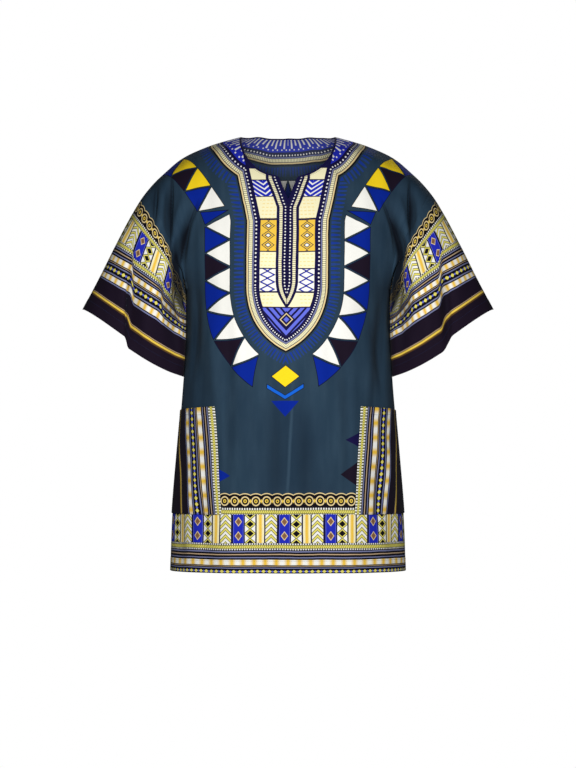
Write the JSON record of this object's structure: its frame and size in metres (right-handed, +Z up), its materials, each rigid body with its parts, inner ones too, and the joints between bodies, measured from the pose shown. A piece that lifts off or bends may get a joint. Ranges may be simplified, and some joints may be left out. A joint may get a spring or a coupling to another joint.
{
  "type": "dashiki shirt",
  "caption": "Loose pull-over dashiki shirt in printed cotton with a V-slit neck, wide elbow sleeves and patch pockets, in its hollow worn form.",
  "frame": {"origin": "middle of the neck opening, level with the two points where the shoulders meet the neck", "axes": "+Z up, front of the shirt towards -Y, the wearer's left towards +X"},
  "size_m": [0.7178, 0.2981, 0.76],
  "materials": {
    "front_print": "matte printed cotton",
    "back_print": "matte printed cotton",
    "sleeve_print": "matte printed cotton",
    "pocket_print": "matte printed cotton",
    "binding": "matte dyed cotton"
  },
  "bodies": {
    "root": {"front_panel": "front_print", "back_panel": "back_print", "sleeve_left": "sleeve_print", "sleeve_right": "sleeve_print", "pocket_left": "pocket_print", "pocket_right": "pocket_print", "neck_binding": "binding"}
  },
  "joints": []
}
